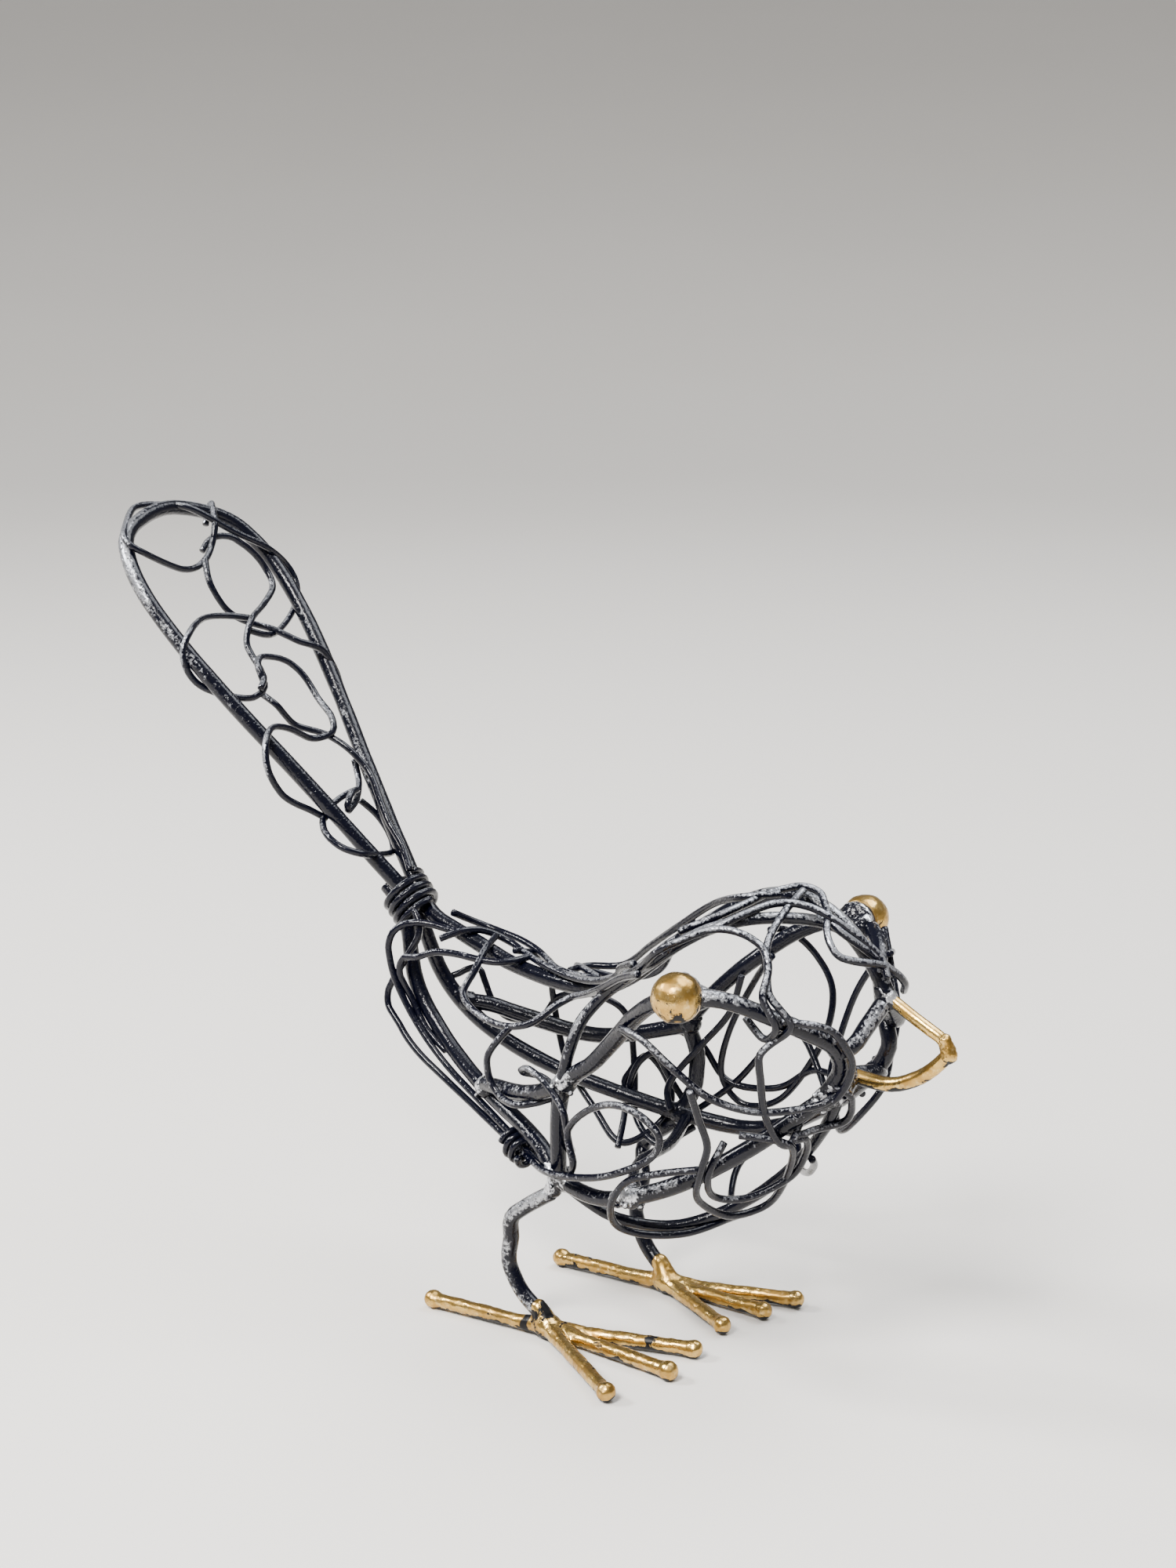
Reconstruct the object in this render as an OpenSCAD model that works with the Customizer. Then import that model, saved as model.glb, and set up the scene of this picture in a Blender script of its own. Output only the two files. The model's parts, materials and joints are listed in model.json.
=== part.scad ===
// A small wren with a cocked tail, bent and welded from steel rod and laced with thin wire.
// +X is the way the beak points, +Y is the bird's left, Z = 0 is the surface it stands on.

/* [Body] */
// Length of the body, from the tail root to the beak root
body_length = 91; // [76:1:110]
// Width of the body over the eye loops, rod centre to rod centre
body_width = 51; // [42:1:62]
// Depth of the body, from the belly to the crown
body_depth = 56; // [47:1:68]
// Height of the belly above the ground
belly_height = 19.5; // [16:0.5:24]

/* [Tail] */
// Length of the tail hoop
tail_length = 80; // [66:1:96]
// Width of the tail hoop, rod centre to rod centre
tail_width = 33; // [27:1:40]
// Lean of the tail above the horizontal, in degrees
tail_lean = 48; // [40:1:58]

/* [Rod and wire] */
// Diameter of the frame rod
rod_d = 2.7; // [2.2:0.1:3.3]
// Diameter of the light rod of the nape, belly and cross tie
light_rod_d = 1.9; // [1.6:0.1:2.3]
// Diameter of the lacing wire
wire_d = 1.2; // [1:0.05:1.45]
// Diameter of a weld bead where rods meet
weld_d = 4.2; // [3.6:0.1:5]

/* [Eyes and beak] */
// Diameter of an eye ball
eye_d = 7.6; // [6.4:0.1:9]
// How far an eye's centre stands out from its loop rod
eye_out = 1.4; // [0.8:0.1:2]
// Length of the beak, from its root to its tip
beak_length = 12.4; // [10:0.4:15]
// Diameter of the upper beak wire
upper_beak_d = 2; // [1.7:0.1:2.4]
// Diameter of the lower beak wire
lower_beak_d = 2.3; // [1.9:0.1:2.8]
// Diameter of the blob at the beak's tip
beak_tip_d = 3; // [2.5:0.1:3.6]

/* [Legs and feet] */
// Diameter of a leg rod
leg_d = 2.6; // [2.2:0.1:3.1]
// Diameter of a toe rod
toe_d = 2.5; // [2.1:0.1:3]
// Diameter of the ball on a toe's end
toe_ball_d = 3.3; // [3.1:0.1:4]
// Length of a front toe of the right foot
right_toe = 24; // [20:0.5:29]
// Length of a front toe of the left foot
left_toe = 21; // [17:0.5:25]
// Length of a hind toe
hind_toe = 22; // [18:0.5:26]
// Height of the weld on an ankle
ankle_height = 5; // [4:0.2:6]

/* [Hidden] */
iron = "dimgray";
wire = "slategray";
gold = "goldenrod";
rod_sides = 8;
wire_sides = 6;
rod_step = 3.5;
wire_step = 2.1;
curve_fn = 32;
// Centre of a lacing wire off the rods' centre surface, where it lies over a rod
lace_lift = (rod_d + wire_d) / 2;

// The body is a loft over eight sections. Each row is the section's place along the body,
// how far its belly lies ahead of its top, the height of its top, the half width and height
// of its side, the half width and height of its lower rail, and the height of its belly.
// Lengths and heights are in percent of the body, half widths in percent of half its width.
SECTIONS = [
    [  0, -2,  76,  10, 72, 10, 67, 64],
    [ 12, -5,  69,  25, 56, 16, 45, 40],
    [ 27, -7,  62,  43, 47, 29, 31, 22],
    [ 44, -4,  63,  61, 45, 51, 21,  6],
    [ 60,  0,  82,  75, 65, 73, 16,  0],
    [ 76,  0,  98, 100, 81, 61, 28, 14],
    [ 89,  1,  96,  71, 77, 35, 46, 37],
    [100, -2,  78,  24, 67, 16, 60, 56]
];
LAST = len(SECTIONS) - 1;

function unit(v) = v / max(norm(v), 1e-6);
function blend(a, b, c, d, t) =
    0.5 * (2 * b + (c - a) * t + (2 * a - 5 * b + 4 * c - d) * t * t + (3 * b - a - 3 * c + d) * t * t * t);
function section(i) = i < 0 ? 2 * SECTIONS[0] - SECTIONS[1]
    : i > LAST ? 2 * SECTIONS[LAST] - SECTIONS[LAST - 1] : SECTIONS[i];
function section_at(u) =
    let (k = u / 100 * LAST, i = max(0, min(floor(k), LAST - 1)))
    blend(section(i - 1), section(i), section(i + 1), section(i + 2), k - i);

// Corner j of a section, counted from the top (0) over the right side (2) to the belly (4)
function corner(s, j) = let (m = j > 4 ? 8 - j : j, side = j > 4 ? 1 : -1)
    m == 0 ? [s[0], 0, s[2]]
    : m == 1 ? [s[0] + 0.15 * s[1], side * 0.71 * s[3], s[4] + 0.71 * (s[2] - s[4])]
    : m == 2 ? [s[0] + 0.5 * s[1], side * s[3], s[4]]
    : m == 3 ? [s[0] + 0.85 * s[1], side * s[5], s[6]]
    : [s[0] + s[1], 0, s[7]];
function wrap(j) = ((j % 8) + 8) % 8;
body_start = -40;
function skin(u, a) =
    let (s = section_at(u), k = (a < 0 ? a + 360 : a) / 45, i = floor(k),
         p = blend(corner(s, wrap(i - 1)), corner(s, wrap(i)), corner(s, wrap(i + 1)), corner(s, wrap(i + 2)), k - i))
    [body_start + p.x / 100 * body_length, p.y / 200 * body_width, belly_height + p.z / 100 * body_depth];

// A place on the body: u in percent from tail root to beak root, a in degrees round the body
// from the spine (0) over the bird's right side to the belly (180), its left side being
// negative. lift counts steps of lace_lift outwards, 1 being a wire laid over the rods.
function on_body(u, a, lift = 0) =
    let (p = skin(u, a), along = skin(min(u + 1, 100), a) - skin(max(u - 1, 0), a),
         round = skin(u, a + 1) - skin(u, a - 1), n = unit(cross(along, round)),
         out = n * (p - (skin(u, 0) + skin(u, 180)) / 2) < 0 ? -n : n)
    p + out * lift * lace_lift;
function body_route(list, lift = 1) =
    [for (p = list) on_body(p[0], p[1], len(p) > 2 ? p[2] : lift)];

// A place on the tail: s along it and y across it in millimetres of a tail 80 long and
// 33 wide, which stretch with the tail; lift is 1 before the rod and -1 behind it.
tail_root = skin(0, 0) + [-0.5, 0, 2];
tail_along = [-cos(tail_lean), 0, sin(tail_lean)];
tail_front = [sin(tail_lean), 0, cos(tail_lean)];
function on_tail(s, y, lift = 0) =
    tail_root + tail_along * s * tail_length / 80 + [0, y * tail_width / 33, 0] + tail_front * lift * lace_lift;
function tail_route(list) = [for (p = list) on_tail(p[0], p[1], p[2])];

// Smooth path through hand-placed points, cut into steps of about the given length
function point(list, i) = i < 0 ? 2 * list[0] - list[1]
    : i >= len(list) ? 2 * list[len(list) - 1] - list[len(list) - 2] : list[i];
function smooth(list, step) = [
    for (i = [0:len(list) - 2])
        let (n = max(1, round(norm(list[i + 1] - list[i]) / step)))
            for (k = [0:n - 1])
                blend(point(list, i - 1), list[i], list[i + 1], point(list, i + 2), k / n),
    list[len(list) - 1]
];
function carry(tangents, n, i = 0) = i == len(tangents) ? []
    : let (m = unit(n - (n * tangents[i]) * tangents[i])) concat([m], carry(tangents, m, i + 1));

// Round bar along a route, with flat cut ends
module bar(route, d, sides, step) {
    path = smooth(route, step);
    count = len(path);
    tangents = [for (i = [0:count - 1]) unit(path[min(i + 1, count - 1)] - path[max(i - 1, 0)])];
    start = abs(tangents[0].y) < 0.8 ? [0, 1, 0] : [1, 0, 0];
    normals = carry(tangents, start);
    points = [
        for (i = [0:count - 1]) let (n = normals[i], b = cross(tangents[i], n))
            for (k = [0:sides - 1]) path[i] + d / 2 * (cos(360 * k / sides) * n + sin(360 * k / sides) * b)
    ];
    walls = [
        for (i = [0:count - 2]) for (k = [0:sides - 1]) let (next = (k + 1) % sides)
            [i * sides + k, (i + 1) * sides + k, (i + 1) * sides + next, i * sides + next]
    ];
    ends = [[for (k = [0:sides - 1]) k], [for (k = [sides - 1:-1:0]) (count - 1) * sides + k]];
    polyhedron(points = points, faces = concat(walls, ends), convexity = 10);
}
module rod(route, d = rod_d) {
    color(iron) bar(route, d, rod_sides, rod_step);
}
module lace(route) {
    color(wire) bar(route, wire_d, wire_sides, wire_step);
}
module bead(place, d) {
    translate(place) sphere(d = d, $fn = curve_fn);
}

// Places that pieces share
beak_root = skin(99, 0) + [0, 0, -1.4];
beak_slope = 33;
beak_tip = beak_root + [cos(beak_slope), 0, -sin(beak_slope)] * beak_length;
beak_size = beak_length / 12.4;
chin = beak_tip + [-16, 0, -6.5] * beak_size;
right_foot = [-1, -15];
left_foot = [4.5, 10.5];
ground_clear = toe_ball_d / 2 - 0.1;
toe_start = 0.5;
tail_scale = tail_width / 33;
// Each rod's centre is this far off the middle of the bundle bound at the tail's root
bundle = 0.52 * rod_d;
coil_turns = 4;
coil_pitch = wire_d + 0.25;
coil_r = rod_d * 1.21 + wire_d / 2;
// Where each leg is welded to its rail, as u, a and lift
right_weld = [47, 139, 0.9];
left_weld = [48, -135, 0];

// The tail hoop's outline, s and y in the tail's own measure, for one side
HOOP_SIDE = [[-1, 1.4], [7, 3.5], [15, 5.5], [26, 8.5], [40, 12.5], [53, 15.5], [64, 16.5], [72, 14.8], [77, 10.5]];
module tail_hoop() {
    n = len(HOOP_SIDE);
    right_end = [on_tail(-4, -bundle / tail_scale)];
    rod(concat(right_end, [for (p = HOOP_SIDE) on_tail(p[0], -p[1])], [on_tail(80, 0)],
        [for (i = [n - 1:-1:0]) on_tail(HOOP_SIDE[i][0], HOOP_SIDE[i][1])]));
}

// Spine, from under the binding along the back and over the crown
module spine_rod() {
    rod(concat([on_tail(-1.2, bundle / tail_scale)], [for (u = [6:6:96]) skin(u, 0)], [beak_root]));
}

// Lower rails, from the binding down the rump, past the legs and up the breast to the chin
function rail_route(side, middle) = concat(
    [on_tail(3, -side * bundle / tail_scale, -1.35), on_tail(-3, -side * bundle * 1.14 / tail_scale, -1.35)],
    [for (u = [8:8:32]) skin(u, side * 135)], body_route(middle, 0),
    [for (u = [70, 79, 88]) skin(u, side * 135)], [skin(93, side * 142), chin]);
module right_lower_rail() rod(rail_route(1, [[38, 133], [43, 135, 0.3], right_weld, [54, 137, 0.2], [62, 134]]));
module left_lower_rail() rod(rail_route(-1, [[40, -135], left_weld, [56, -135], [63, -135]]));

// Eye loops, up from the leg weld to the eye, along the cheek and back down to the chin
module right_eye_loop() {
    rod(body_route([right_weld, [47, 127, 0.2], [47, 113], [48, 100], [53, 98], [58, 94], [64, 91], [71, 90],
        [79, 88], [86, 91], [91, 95], [95, 103], [95, 122], [90, 135]], 0));
}
module left_eye_loop() {
    rod(body_route([left_weld, [49, -124], [49, -111], [48, -99], [52, -91], [58, -87], [64, -86],
        [72, -90], [80, -92, -0.5], [86, -97, -1.3], [91, -103, -1.3], [94, -112, -0.8], [94, -124], [90, -135]], 0));
}

// Struts that tie the back of each eye loop to its rail
module right_flank_strut() {
    rod(body_route([[30, 132], [33, 120], [39, 108], [44, 102], [48, 100]], 0));
}
module left_flank_strut() {
    rod(body_route([[15, -128], [19, -116], [26, -110], [36, -105], [48, -100]], 0));
}

// Light rods: up the right side of the neck, under the belly and across between the rails
module nape_rod() {
    rod(body_route([[48, 100], [49, 85], [50, 69], [53, 54], [59, 54], [65, 58], [68, 50], [72, 39], [77, 30], [82, 22], [87, 12], [92, 0]], 0.4), light_rod_d);
}
module belly_rod() {
    rod(body_route([[48.5, 140, 0.9], [54, 149, 0.4], [61, 160], [68, 170], [75, 172], [82, 166], [88, 154], [92, 142]], 0.2), light_rod_d);
}
module cross_tie() {
    left_end = skin(49, -135);
    right_end = skin(60, 133);
    rod([left_end, left_end * 0.66 + right_end * 0.34 + [0, 0, -0.5],
        left_end * 0.3 + right_end * 0.7 + [-2, 0, 0.5], right_end], light_rod_d);
}

// Mouth rods, from the beak's root to the front corner of each eye loop
module right_mouth_rod() rod([beak_root + [-0.3, -1, -1], on_body(98, 100), on_body(95, 108)]);
module left_mouth_rod() rod([beak_root + [-0.3, 1, -1], on_body(98, -100, -0.5), on_body(93, -108, -1)]);

module frame_welds() {
    places = [right_weld, left_weld, [48, 100], [48, -99], [31, 130], [15, -130], [60, 134], [90, 136], [90, -136]];
    color(iron) for (p = body_route(places, 0)) bead(p, weld_d);
}

// Eyes: solid balls brazed onto the loops
module right_eye() color(gold) bead(on_body(73, 88.5, eye_out / lace_lift), eye_d);
module left_eye() color(gold) bead(on_body(73, -90, eye_out / lace_lift), eye_d);

// Beak: an upper and a lower wire that meet in a blob
module beak_upper_wire() {
    shoulder = beak_tip + [-1, 0, 1.8] * beak_size;
    color(gold) bar([beak_root, (beak_root + shoulder) / 2, shoulder, beak_tip], upper_beak_d, rod_sides, rod_step);
}
module beak_lower_wire() {
    drops = [[-13, -6.8], [-9.2, -6.6], [-5.8, -5.2], [-2.6, -2.9]];
    color(gold) bar(concat([chin], [for (p = drops) beak_tip + [p[0], 0, p[1]] * beak_size], [beak_tip]),
        lower_beak_d, rod_sides, rod_step);
}
module beak_tip_blob() color(gold) bead(beak_tip, beak_tip_d);

// Legs: welded to the outside of the rails, back to the heel and down to the ankle.
// The heel's bend is set off from the line between its two ends.
module leg(top, foot, side) {
    ankle = [foot.x, foot.y, ankle_height * 0.6];
    drop = top.z - ankle.z;
    rod([top, top + [-3, 0, -0.09 * drop], top + [-7.5, -side * 0.5, -0.26 * drop],
        [foot.x - 7, top.y * 0.5 + foot.y * 0.5, ankle.z + 0.57 * drop],
        [foot.x - 7.6, top.y * 0.3 + foot.y * 0.7, ankle.z + 0.38 * drop],
        [foot.x - 5, top.y * 0.15 + foot.y * 0.85, ankle.z + 0.16 * drop], ankle], leg_d);
}
module right_leg() leg(on_body(47, 143, 2.1), right_foot, 1);
module left_leg() leg(on_body(48, -137, 0.8), left_foot, -1);

// Ankles: a weld bead over the toes' roots, flat where it meets the ground
module grounded() {
    intersection() {
        children();
        translate([0, -hind_toe, 0]) cube(2 * hind_toe);
    }
}
module ankle(foot) {
    color(gold) translate([foot.x, foot.y, 0])
        cylinder(d1 = ankle_height + 1.2, d2 = leg_d + 0.6, h = ankle_height, $fn = curve_fn);
}
module right_ankle_weld() ankle(right_foot);
module left_ankle_weld() ankle(left_foot);

// Toes: three to the front and one behind, each with a ball on its end
module toe(foot, heading, reach) {
    color(gold) translate([foot.x, foot.y, 0]) rotate([0, 0, heading]) {
        translate([toe_start, 0, ground_clear]) rotate([0, 90, 0])
            cylinder(d = toe_d, h = reach - toe_start, $fn = curve_fn);
        grounded() translate([reach, 0, ground_clear]) sphere(d = toe_ball_d, $fn = curve_fn);
    }
}
// The toes of a foot, each row its heading in degrees and its share of the stated length
RIGHT_TOES = [[-32, 1], [-3, 1], [18, 1], [185, 1]];
LEFT_TOES = [[-27, 0.86], [1, 0.88], [19, 1.03], [185, 0.93]];
module toes(foot, rows, front_toe) {
    for (row = rows) toe(foot, row[0], row[1] * (row[0] > 90 ? hind_toe : front_toe));
}
module right_toes() toes(right_foot, RIGHT_TOES, right_toe);
module left_toes() toes(left_foot, LEFT_TOES, left_toe);

// Binding: a close coil of lacing wire round the rod bundle at the tail's root
module tail_binding_coil() {
    middle = on_tail(-1.5, 0, -0.65);
    bottom = -coil_turns * coil_pitch / 2;
    lace([for (i = [0:coil_turns * 8]) let (a = i * 45 + 90)
        middle + tail_along * (bottom + i / 8 * coil_pitch + 0.8 * sin(a)) + coil_r * (cos(a) * [0, 1, 0] + sin(a) * tail_front)]);
}

// Tail lacing, one looped length after another
module tail_tip_lace() {
    lace(tail_route([[76.5, 8.5, -1], [79.5, 10.5, 0], [74.5, 6.5, 1], [71, 4.5, 0], [68, 0, 0], [67.5, -5, 0],
        [70.5, -13, 1], [74, -15, 0.8], [78, -11, 0], [82, -5, -0.8], [81.5, 0, -0.5], [78, 3, 1], [72, 9.5, 1],
        [68, 14.5, 1], [65, 19, 0], [61, 19.5, -0.5], [57, 16.5, -1], [53, 9, -0.6], [52, 4, 0], [53.5, 1, 0]]));
}
module tail_upper_lace() {
    lace(tail_route([[71, 3, -0.6], [72.5, 5.5, 0], [71.5, 8, 0.8], [68, 11.5, 0.6], [64.5, 13.5, 0], [61, 12.5, 0],
        [58, 8, 0], [54.5, 1, 0.8], [51, -1.5, 0], [46.5, -2, 0], [43, -4.5, 0.8], [41.5, -6.5, 0.8]]));
}
module tail_link_lace() {
    lace(tail_route([[68.5, 0.5, 0.4], [64, -1, 0], [59, 0.5, -0.7], [56, 3.5, -0.8], [53, 6, 0], [48.5, 8.5, 0.9],
        [46, 12, 1], [42.5, 14.5, 0], [39, 15, -1], [36, 12.5, -1]]));
}
module tail_middle_lace() {
    lace(tail_route([[55.5, 2, 0.3], [57, -1.5, 0], [57.5, -7, 0], [54.5, -14, 1], [51.5, -16.5, 0], [48, -15.5, -1], [45, -13.5, -1],
        [41.5, -10.5, 0], [41, -7, 0], [42, -4.5, 0.4], [45.5, -4, 0.8], [48, 0, 0], [46.5, 4.5, 0], [43, 6.5, 0],
        [38, 6.5, 0], [33, 4.5, 1], [30.5, 3, 0.8], [31, -0.5, 0], [33, -5, 0.6], [34, -9, 0.8], [31.5, -13, 1],
        [27.5, -14, 0], [23, -12, -1], [19.5, -8.5, -1], [17, -6, -1]]));
}
module tail_lower_lace() {
    lace(tail_route([[42, -4, -0.6], [38.5, -3.5, 0], [35, -0.5, -0.8], [31.5, 2.5, 0], [27, 3.5, 1], [21.5, 4.5, 1.2],
        [16.5, 3, 1.3], [11.5, 1.5, 1.3], [7, 1, 1.4], [2.2, -1, 1.5]]));
}
module tail_root_lace() {
    lace(tail_route([[26, 8, -1], [22, 6, -1], [18, 0.5, 0], [16.5, -3.5, 0.4], [18.5, -2, 0.9], [19.5, 1, 0.4],
        [19.5, -2, -0.6], [17.5, -6.5, -1], [14, -9.5, -0.4], [10, -10, 0.6], [7.5, -7, 1], [7.5, -2, 0], [8, 3.4, -0.9], [11, 5, -0.9], [15, 5, -0.9], [18.5, 3.4, -0.9]]));
}

// Body lacing: rump and back
module rump_lace() {
    lace(concat([on_tail(-4, -0.93 * coil_r / tail_scale, 0.6), on_tail(-8, -4.6, 0)],
        body_route([[8, 138, 2.6], [13, 138, 2.8], [18, 139, 2.6], [24, 142, 2], [30, 142, 1.6], [36, 144, 1.4],
        [41, 142, 1.4], [47, 133, 1.6], [53, 128], [59, 125], [65, 123], [67, 119], [64, 113], [59, 110], [54, 111],
        [51, 116], [52, 124], [50, 132, 0.8]])));
}
module rump_hook_lace() {
    lace(body_route([[15, 18], [9, 33], [6, 50, 1.3], [4, 75, 1.6], [4, 100, 1.8], [7, 118, 1.8], [12, 128, 1.6],
        [18, 134, 1.4], [24, 138, 1.2], [30, 138], [37, 140], [43, 143, 1.2]]));
}
module rump_arc_lace() {
    lace(body_route([[21, 138, 0.6], [16, 134], [11, 128], [8, 112, 1.4], [8, 92, 1.2], [11, 72], [14, 52], [18, 38],
        [23, 26], [26, 14], [27, -8]]));
}
module back_lace() {
    lace(body_route([[13, 38], [15, 14], [17, -8], [21, -20], [26, -9], [31, 0], [37, 6], [44, 14], [50, 24, 0.6],
        [55, 40, 1], [60, 52, 1]]));
}
module back_loop_lace() {
    lace(body_route([[9, -10, 0.9], [12, -30], [16, -36, 1.3], [22, -28, 1.5], [27, -20, 1.3], [33, -2], [38, 2], [41, 0, 0.8],
        [36, -12, 1.2], [33, -32, 1], [38, -48], [45, -46], [52, -24, 1.2], [58, -6]]));
}
module right_scroll_lace() {
    lace(body_route([[19, -13], [21, 17], [23, 40], [24, 60], [27, 67], [31, 68], [35, 65], [39, 56], [41, 40],
        [43, 31], [48, 39], [54, 58], [59, 66], [64, 72, 0.6]]));
}
module right_flank_lace() {
    lace(body_route([[36, 62], [35, 76], [34, 92], [35, 106], [37, 112], [41, 110], [44, 106, -1], [42, 96, -0.8],
        [40, 92, 0.4], [42, 88], [45, 95], [48, 104], [50, 110], [50, 120, 0.4], [47, 130, -1]]));
}
module nape_lace() {
    lace(body_route([[35, -4], [36, -20, 1.3], [42, -24, 1.5], [50, -12, 1.5], [58, 4], [66, 12], [73, 20, 1.2],
        [78, 14, 1.2]]));
}

// Crown, brow and cheek
module crown_lace() {
    lace(body_route([[68, 42], [73, 33], [75, 22], [76, 12], [79, 3, 1.2], [82, 2, 1.2], [85, 9], [88, 16],
        [92, 12], [96, 2], [98, -10, 0.8]]));
}
module crown_side_lace() {
    lace(body_route([[72, 46, 0.6], [76, 34], [79, 22, 1.2], [83, 17, 1.3], [87, 15, 1.3], [91, 10, 1.2], [95, 4, 1.2], [98, 10]]));
}
module brow_arc_lace() {
    lace(body_route([[63, 66, 0.6], [68, 64], [71, 56], [74, 45], [78, 45], [82, 52], [84, 66], [84, 80, 1.2],
        [86, 92, 1.2], [84, 101, 0], [82, 96, -1]]));
}
module right_cheek_lace() {
    lace(body_route([[80, 6, 1.2], [81, 25], [82, 45, 0.7], [84, 64, 0.6], [85, 78], [88, 89, 1.3], [86, 99, 0.6], [83, 104],
        [82, 112], [81, 122], [81, 132, 1.2], [82, 140], [85, 142, -0.6]]));
}
module chin_lace() {
    lace(body_route([[87, 90, 0.6], [91, 86, 1.2], [94, 86, 1.2], [96, 94, 1.2], [97, 108, 1.2], [95, 124, 1.2],
        [91, 131, 1.2], [87, 129]]));
}
module right_sweep_lace() {
    lace(body_route([[60, 96, -0.8], [62, 94, 1], [67, 99], [71, 106], [75, 114], [80, 121], [86, 127], [90, 129, 1.2],
        [92, 136, 0]]));
}

// Breast and belly
module breast_lace() {
    lace(body_route([[73, 111, 1.4], [73, 119], [73, 125], [71, 131, 1.2], [69, 140], [70, 156, 1.3], [73, 168, 1.4], [77, 163, 1.2],
        [81, 150], [82, 139, 1.2], [80, 131], [77, 127, 0.4]]));
}
module breast_side_lace() {
    lace(body_route([[75, 128, 0], [72, 132, 1.2], [71, 142], [74, 152, 1.2], [79, 160, 1.2], [83, 152], [84, 143],
        [83, 137, 1.2], [86, 147, 0.6], [90, 158, 1], [93, 150], [94, 136], [92, 128, 0.6]]));
}
module belly_lace() {
    lace(body_route([[71, 130], [66, 127, 1.1], [61, 127], [58, 133, 1.2], [57, 143, 1.2], [59, 152], [63, 160],
        [66, 172, 0.8], [64, -172], [59, -160], [57, -146], [60, -136, 1.2], [65, -138], [70, -152], [76, -168],
        [80, 178], [82, 164]]));
}
module brow_curl_lace() {
    lace(body_route([[86, 12], [88, 24], [91, 31], [94, 22, 1.2], [96, 8, 1.2], [98, -8, 1], [99, -28, 0.6], [98, -58, 0]]));
}

// Left side
module left_flank_lace() {
    lace(body_route([[9, -140], [11, -118, 1.2], [14, -98], [18, -112, 0.6], [22, -119, 1.2], [27, -108], [28, -92],
        [32, -80], [37, -84], [39, -100, 1.2], [41, -124], [43, -142, 1.2], [47, -149], [50, -138, 0.9]]));
}
module left_wing_lace() {
    lace(body_route([[24, -4], [26, -32], [27, -60], [27, -84], [30, -112], [33, -130, 1.2], [38, -146], [43, -155], [46, -140, 1.2],
        [46, -127], [42, -113], [40, -128], [41, -134, 1.2]]));
}
module left_cheek_lace() {
    lace(body_route([[60, -76, 0.4], [62, -85, 1.2], [65, -96], [68, -106], [68, -114], [65, -121], [60, -127, 1.2],
        [55, -128, 1.2], [52, -120], [53, -108], [57, -97], [60, -88, -1]]));
}
module left_breast_lace() {
    lace(body_route([[85, -90, -0.4], [81, -95, 0.6], [76, -101], [72, -110], [70, -124], [73, -134, 1.2], [78, -146],
        [84, -148], [88, -138, 1.2], [88, -124], [86, -110], [83, -98, 0.3], [79, -88, 0.3]]));
}
module left_rising_lace() {
    lace(body_route([[45, -98, 0.4], [49, -110, 1.2], [53, -122], [60, -124], [66, -122], [73, -126], [80, -133, 1.2]]));
}
module left_zigzag_lace() {
    lace(body_route([[49, -134, 1.2], [54, -122], [62, -112], [68, -124], [72, -137, 1.2]]));
}
module left_fork_lace() {
    lace(body_route([[50, -136, 0.95], [46, -123, 0.5], [43, -111, 0.4], [41, -120, 0.4], [41, -134, 0.95],
        [42, -147, 0.8], [43, -158, 0.9]]));
}
module left_crossing_lace() {
    lace(body_route([[56, -90, -0.95], [54, -101, -0.9], [50, -108, -0.95], [47, -117, -0.9], [46, -126, -0.9],
        [47, -136, -0.95]]));
}
// Turns of wire drawn tight round the rump lacing behind the leg
module leg_root_lace() {
    heart = on_body(37.5, 143, 1.3);
    axis = unit(on_body(44, 141, 1.3) - heart);
    side_way = unit(cross(axis, [0, 0, 1]));
    up_way = cross(side_way, axis);
    turn_r = wire_d * 1.7;
    turns = 3;
    lace([for (i = [0:turns * 6]) let (a = i * 60)
        heart + axis * (i / 6 * (wire_d + 0.4)) + turn_r * (cos(a) * side_way + sin(a) * up_way)]);
}

// The origin is midway along the whole bird, on the ground
front_end = beak_tip.x + beak_tip_d / 2;
back_end = on_tail(82, 0, -0.8).x - wire_d / 2;
module placed() translate([-(front_end + back_end) / 2, 0, 0]) children();

placed() tail_hoop();
placed() spine_rod();
placed() right_lower_rail();
placed() left_lower_rail();
placed() right_eye_loop();
placed() left_eye_loop();
placed() right_flank_strut();
placed() left_flank_strut();
placed() nape_rod();
placed() belly_rod();
placed() cross_tie();
placed() right_mouth_rod();
placed() left_mouth_rod();
placed() frame_welds();
placed() right_eye();
placed() left_eye();
placed() beak_upper_wire();
placed() beak_lower_wire();
placed() beak_tip_blob();
placed() right_leg();
placed() left_leg();
placed() right_ankle_weld();
placed() left_ankle_weld();
placed() right_toes();
placed() left_toes();
placed() tail_binding_coil();
placed() tail_tip_lace();
placed() tail_upper_lace();
placed() tail_link_lace();
placed() tail_middle_lace();
placed() tail_lower_lace();
placed() tail_root_lace();
placed() rump_lace();
placed() rump_hook_lace();
placed() rump_arc_lace();
placed() back_lace();
placed() back_loop_lace();
placed() right_scroll_lace();
placed() right_flank_lace();
placed() nape_lace();
placed() crown_lace();
placed() crown_side_lace();
placed() brow_arc_lace();
placed() right_cheek_lace();
placed() chin_lace();
placed() right_sweep_lace();
placed() breast_lace();
placed() breast_side_lace();
placed() belly_lace();
placed() brow_curl_lace();
placed() left_flank_lace();
placed() left_wing_lace();
placed() left_cheek_lace();
placed() left_breast_lace();
placed() left_rising_lace();
placed() left_zigzag_lace();
placed() left_fork_lace();
placed() left_crossing_lace();
placed() leg_root_lace();
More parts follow.
